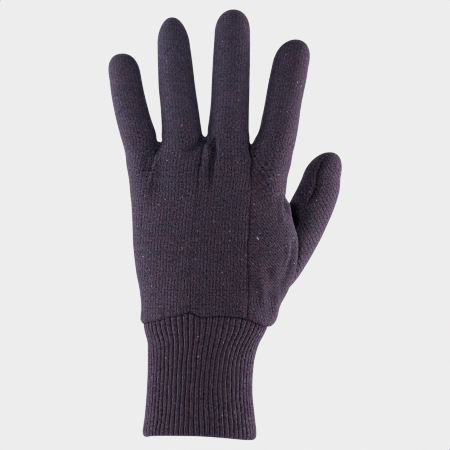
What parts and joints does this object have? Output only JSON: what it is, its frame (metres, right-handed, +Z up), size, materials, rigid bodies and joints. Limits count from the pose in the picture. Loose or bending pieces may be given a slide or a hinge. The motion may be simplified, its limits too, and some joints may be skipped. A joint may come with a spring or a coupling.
{
  "type": "knitted work glove",
  "caption": "Left-hand cotton jersey work glove with a ribbed knit cuff, in its worn shape: hollow fingers and thumb, open at the wrist.",
  "frame": {"origin": "the centre of the wrist opening, in the plane of the cuff's edge", "axes": "+Z up through the glove to the fingertips, -Y the back of the hand, +Y the palm, +X the thumb side"},
  "size_m": [0.1396, 0.0558, 0.2586],
  "materials": {
    "jersey": "matt heathered dark purple-brown cotton jersey, slightly fuzzy",
    "rib_knit": "matt heathered dark purple-brown ribbed knit"
  },
  "bodies": {
    "root": {"cuff": "rib_knit", "palm_panel": "jersey", "back_strip_little": "jersey", "back_strip_ring": "jersey", "back_strip_middle": "jersey", "back_strip_index": "jersey", "thumb_inner_panel": "jersey", "thumb_outer_panel": "jersey"}
  },
  "joints": []
}
